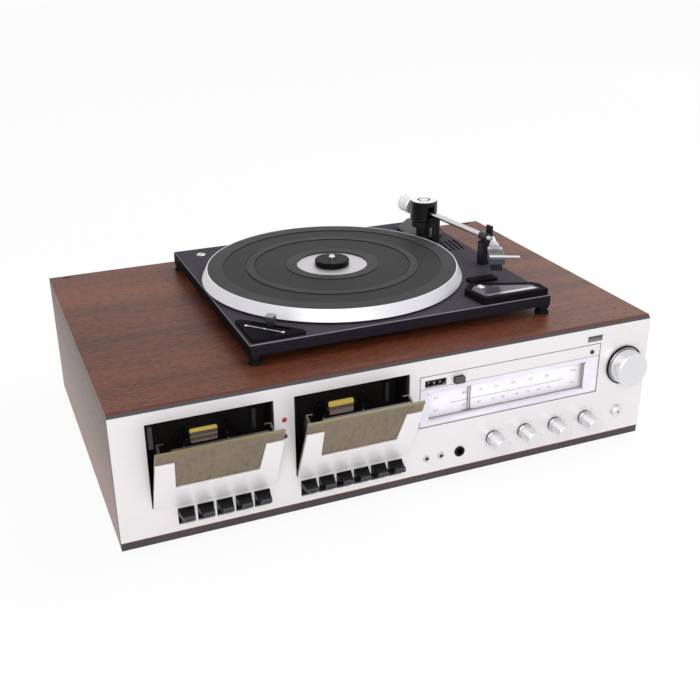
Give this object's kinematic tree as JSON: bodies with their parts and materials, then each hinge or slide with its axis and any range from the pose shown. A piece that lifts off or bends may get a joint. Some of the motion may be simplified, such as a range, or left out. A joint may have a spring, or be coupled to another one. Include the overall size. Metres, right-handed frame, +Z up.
{
  "type": "stereo system",
  "caption": "Wooden stereo cabinet with a record player on top, two cassette decks with open doors, piano keys, a sliding tuner dial and turning knobs.",
  "frame": {"origin": "on the floor, under the middle of the whole object's box", "axes": "+X to the right seen from the front, +Y to the rear, +Z up"},
  "size_m": [0.57, 0.407, 0.215],
  "materials": {
    "walnut": "satin walnut veneer",
    "back_board": "bare board",
    "trim": "fine grain",
    "silver_panel": "brushed",
    "rubber": "matt",
    "black_plastic": "satin",
    "dial_frame": "satin",
    "dial_white": "printed",
    "dial_glass": "clear sheet",
    "socket_metal": "polished",
    "lens": "clear lens",
    "lamp": "tinted",
    "chassis_black": "fine grain",
    "smoked": "clear tinted",
    "hub_plastic": "satin",
    "steel": "plain",
    "pointer": "satin",
    "knob_metal": "turned",
    "platter_metal": "turned",
    "pulley_brass": "turned",
    "arm_metal": "polished",
    "head_grey": "satin"
  },
  "bodies": {
    "cabinet": {"cabinet_top": "walnut", "cabinet_sides": "walnut", "base_panel": "back_board", "rear_panel": "back_board", "front_frame": "trim", "front_panel": "silver_panel", "rubber_feet": "rubber", "rear_terminals": "black_plastic", "dial_bezel": "dial_frame", "dial_scale": "dial_white", "dial_window": "dial_glass", "front_jacks": "socket_metal", "indicator_leds": "lens", "cassette_wells": "black_plastic", "lamp_plates": "lamp", "chassis": "chassis_black", "arm_pedestal": "chassis_black", "drive_motor": "steel", "drive_belt": "rubber"},
    "dial_pointer": {"dial_pointer": "pointer"},
    "tuning_knob": {"tuning_knob": "knob_metal"},
    "function_knob": {"function_knob": "knob_metal"},
    "tone_knob": {"tone_knob": "knob_metal"},
    "balance_knob": {"balance_knob": "knob_metal"},
    "volume_knob": {"volume_knob": "knob_metal"},
    "power_button": {"power_button": "knob_metal"},
    "counter_wheels": {"counter_wheels": "black_plastic"},
    "counter_reset_button": {"counter_reset_button": "black_plastic"},
    "left_door": {"left_door_plate": "silver_panel", "left_door_pocket": "smoked"},
    "left_supply_hub": {"left_supply_hub": "hub_plastic"},
    "left_takeup_hub": {"left_takeup_hub": "hub_plastic"},
    "left_head_bridge": {"left_head_bridge": "steel"},
    "left_play_key": {"left_play_key": "black_plastic"},
    "left_rewind_key": {"left_rewind_key": "black_plastic"},
    "left_forward_key": {"left_forward_key": "black_plastic"},
    "left_stop_key": {"left_stop_key": "black_plastic"},
    "left_pause_key": {"left_pause_key": "black_plastic"},
    "right_door": {"right_door_plate": "silver_panel", "right_door_pocket": "smoked"},
    "right_supply_hub": {"right_supply_hub": "hub_plastic"},
    "right_takeup_hub": {"right_takeup_hub": "hub_plastic"},
    "right_head_bridge": {"right_head_bridge": "steel"},
    "right_record_key": {"right_record_key": "black_plastic"},
    "right_play_key": {"right_play_key": "black_plastic"},
    "right_rewind_key": {"right_rewind_key": "black_plastic"},
    "right_forward_key": {"right_forward_key": "black_plastic"},
    "right_stop_key": {"right_stop_key": "black_plastic"},
    "right_pause_key": {"right_pause_key": "black_plastic"},
    "platter": {"platter": "platter_metal", "platter_mat": "rubber", "center_spindle": "steel"},
    "record_adaptor": {"record_adaptor": "black_plastic"},
    "motor_pulley": {"motor_pulley": "pulley_brass"},
    "arm_base": {"arm_yoke": "chassis_black"},
    "arm": {"arm_tube": "arm_metal", "headshell": "head_grey", "cartridge": "black_plastic"},
    "counterweight": {"counterweight": "arm_metal"},
    "speed_lever": {"speed_lever": "black_plastic"}
  },
  "joints": [
    {"name": "tuning_turn", "type": "hinge", "parent": "cabinet", "child": "tuning_knob", "pos_m": [0.256, -0.16847, 0.096], "axis": [0, 1, 0], "range_deg": [-260, 760]},
    {"name": "pointer_slide", "type": "slide", "parent": "cabinet", "child": "dial_pointer", "axis": [1, 0, 0], "range_m": [-0.0438, 0.1272]},
    {"name": "function_turn", "type": "hinge", "parent": "cabinet", "child": "function_knob", "pos_m": [0.0998, -0.16847, 0.0415], "axis": [0, 1, 0], "range_deg": [-60, 60]},
    {"name": "tone_turn", "type": "hinge", "parent": "cabinet", "child": "tone_knob", "pos_m": [0.1373, -0.16847, 0.0415], "axis": [0, 1, 0], "range_deg": [-140, 140]},
    {"name": "balance_turn", "type": "hinge", "parent": "cabinet", "child": "balance_knob", "pos_m": [0.1748, -0.16847, 0.0415], "axis": [0, 1, 0], "range_deg": [-140, 140]},
    {"name": "volume_turn", "type": "hinge", "parent": "cabinet", "child": "volume_knob", "pos_m": [0.2123, -0.16847, 0.0415], "axis": [0, 1, 0], "range_deg": [-140, 140]},
    {"name": "power_press", "type": "slide", "parent": "cabinet", "child": "power_button", "axis": [0, 1, 0], "range_m": [0, 0.003], "stiffness_N_per_m": 200, "springref_m": -0.002},
    {"name": "counter_turn", "type": "hinge", "parent": "cabinet", "child": "counter_wheels", "pos_m": [0.0145, -0.15497, 0.1176], "axis": [-1, 0, 0], "continuous": true},
    {"name": "reset_press", "type": "slide", "parent": "cabinet", "child": "counter_reset_button", "axis": [0, 1, 0], "range_m": [0, 0.0025], "stiffness_N_per_m": 200, "springref_m": -0.002},
    {"name": "left_door_swing", "type": "hinge", "parent": "cabinet", "child": "left_door", "pos_m": [-0.19475, -0.16317, 0.048], "axis": [1, 0, 0], "range_deg": [-25, 0]},
    {"name": "left_supply_hub_turn", "type": "hinge", "parent": "cabinet", "child": "left_supply_hub", "pos_m": [-0.216, -0.13647, 0.0978], "axis": [0, 1, 0], "continuous": true},
    {"name": "left_takeup_hub_turn", "type": "hinge", "parent": "cabinet", "child": "left_takeup_hub", "pos_m": [-0.1735, -0.13647, 0.0978], "axis": [0, 1, 0], "continuous": true},
    {"name": "left_head_lift", "type": "slide", "parent": "cabinet", "child": "left_head_bridge", "axis": [0, 0, 1], "range_m": [0, 0.008]},
    {"name": "left_play_key_press", "type": "hinge", "parent": "cabinet", "child": "left_play_key", "pos_m": [-0.2235, -0.14047, 0.031], "axis": [1, 0, 0], "range_deg": [0, 7.5], "stiffness_Nm_per_rad": 0.05, "springref_deg": -17.19},
    {"name": "left_rewind_key_press", "type": "hinge", "parent": "cabinet", "child": "left_rewind_key", "pos_m": [-0.2052, -0.14047, 0.031], "axis": [1, 0, 0], "range_deg": [0, 7.5], "stiffness_Nm_per_rad": 0.05, "springref_deg": -17.19},
    {"name": "left_forward_key_press", "type": "hinge", "parent": "cabinet", "child": "left_forward_key", "pos_m": [-0.1869, -0.14047, 0.031], "axis": [1, 0, 0], "range_deg": [0, 7.5], "stiffness_Nm_per_rad": 0.05, "springref_deg": -17.19},
    {"name": "left_stop_key_press", "type": "hinge", "parent": "cabinet", "child": "left_stop_key", "pos_m": [-0.1686, -0.14047, 0.031], "axis": [1, 0, 0], "range_deg": [0, 7.5], "stiffness_Nm_per_rad": 0.05, "springref_deg": -17.19},
    {"name": "left_pause_key_press", "type": "hinge", "parent": "cabinet", "child": "left_pause_key", "pos_m": [-0.1503, -0.14047, 0.031], "axis": [1, 0, 0], "range_deg": [0, 7.5], "stiffness_Nm_per_rad": 0.05, "springref_deg": -17.19},
    {"name": "right_door_swing", "type": "hinge", "parent": "cabinet", "child": "right_door", "pos_m": [-0.05625, -0.16317, 0.048], "axis": [1, 0, 0], "range_deg": [-25, 0]},
    {"name": "right_supply_hub_turn", "type": "hinge", "parent": "cabinet", "child": "right_supply_hub", "pos_m": [-0.0775, -0.13647, 0.0978], "axis": [0, 1, 0], "continuous": true},
    {"name": "right_takeup_hub_turn", "type": "hinge", "parent": "cabinet", "child": "right_takeup_hub", "pos_m": [-0.035, -0.13647, 0.0978], "axis": [0, 1, 0], "continuous": true},
    {"name": "right_head_lift", "type": "slide", "parent": "cabinet", "child": "right_head_bridge", "axis": [0, 0, 1], "range_m": [0, 0.008]},
    {"name": "right_record_key_press", "type": "hinge", "parent": "cabinet", "child": "right_record_key", "pos_m": [-0.1033, -0.14047, 0.031], "axis": [1, 0, 0], "range_deg": [0, 7.5], "stiffness_Nm_per_rad": 0.05, "springref_deg": -17.19},
    {"name": "right_play_key_press", "type": "hinge", "parent": "cabinet", "child": "right_play_key", "pos_m": [-0.085, -0.14047, 0.031], "axis": [1, 0, 0], "range_deg": [0, 7.5], "stiffness_Nm_per_rad": 0.05, "springref_deg": -17.19},
    {"name": "right_rewind_key_press", "type": "hinge", "parent": "cabinet", "child": "right_rewind_key", "pos_m": [-0.0667, -0.14047, 0.031], "axis": [1, 0, 0], "range_deg": [0, 7.5], "stiffness_Nm_per_rad": 0.05, "springref_deg": -17.19},
    {"name": "right_forward_key_press", "type": "hinge", "parent": "cabinet", "child": "right_forward_key", "pos_m": [-0.0484, -0.14047, 0.031], "axis": [1, 0, 0], "range_deg": [0, 7.5], "stiffness_Nm_per_rad": 0.05, "springref_deg": -17.19},
    {"name": "right_stop_key_press", "type": "hinge", "parent": "cabinet", "child": "right_stop_key", "pos_m": [-0.0301, -0.14047, 0.031], "axis": [1, 0, 0], "range_deg": [0, 7.5], "stiffness_Nm_per_rad": 0.05, "springref_deg": -17.19},
    {"name": "right_pause_key_press", "type": "hinge", "parent": "cabinet", "child": "right_pause_key", "pos_m": [-0.0118, -0.14047, 0.031], "axis": [1, 0, 0], "range_deg": [0, 7.5], "stiffness_Nm_per_rad": 0.05, "springref_deg": -17.19},
    {"name": "platter_turn", "type": "hinge", "parent": "cabinet", "child": "platter", "pos_m": [0.0015, 0.02753, 0.169], "axis": [0, 0, -1], "continuous": true},
    {"name": "adaptor_lift", "type": "slide", "parent": "platter", "child": "record_adaptor", "axis": [0, 0, 1], "range_m": [0, 0.025]},
    {"name": "motor_turn", "type": "hinge", "parent": "cabinet", "child": "motor_pulley", "pos_m": [-0.0843, 0.09952, 0.169], "axis": [0, 0, -1], "continuous": true},
    {"name": "arm_swing", "type": "hinge", "parent": "cabinet", "child": "arm_base", "pos_m": [0.158, 0.11453, 0.2015], "axis": [0, 0, 1], "range_deg": [-42, 0]},
    {"name": "arm_lift", "type": "hinge", "parent": "arm_base", "child": "arm", "pos_m": [0.158, 0.11453, 0.2015], "axis": [-0.9919, -0.1271, 0], "range_deg": [0, 12]},
    {"name": "counterweight_turn", "type": "hinge", "parent": "arm", "child": "counterweight", "pos_m": [0.158, 0.11453, 0.2015], "axis": [0.1271, -0.9919, 0], "range_deg": [-180, 180]},
    {"name": "speed_slide", "type": "slide", "parent": "cabinet", "child": "speed_lever", "axis": [0.7071, -0.7071, 0], "range_m": [-0.018, 0.018]}
  ],
  "couplings": [
    {"joint": "pointer_slide", "follows": "tuning_turn", "m_per_rad": 0.0095493},
    {"joint": "left_play_key_press", "follows": "left_head_lift", "rad_per_m": 16.362},
    {"joint": "right_play_key_press", "follows": "right_head_lift", "rad_per_m": 16.362},
    {"joint": "right_takeup_hub_turn", "follows": "counter_turn", "ratio": 2},
    {"joint": "motor_turn", "follows": "platter_turn", "ratio": 11.733}
  ]
}
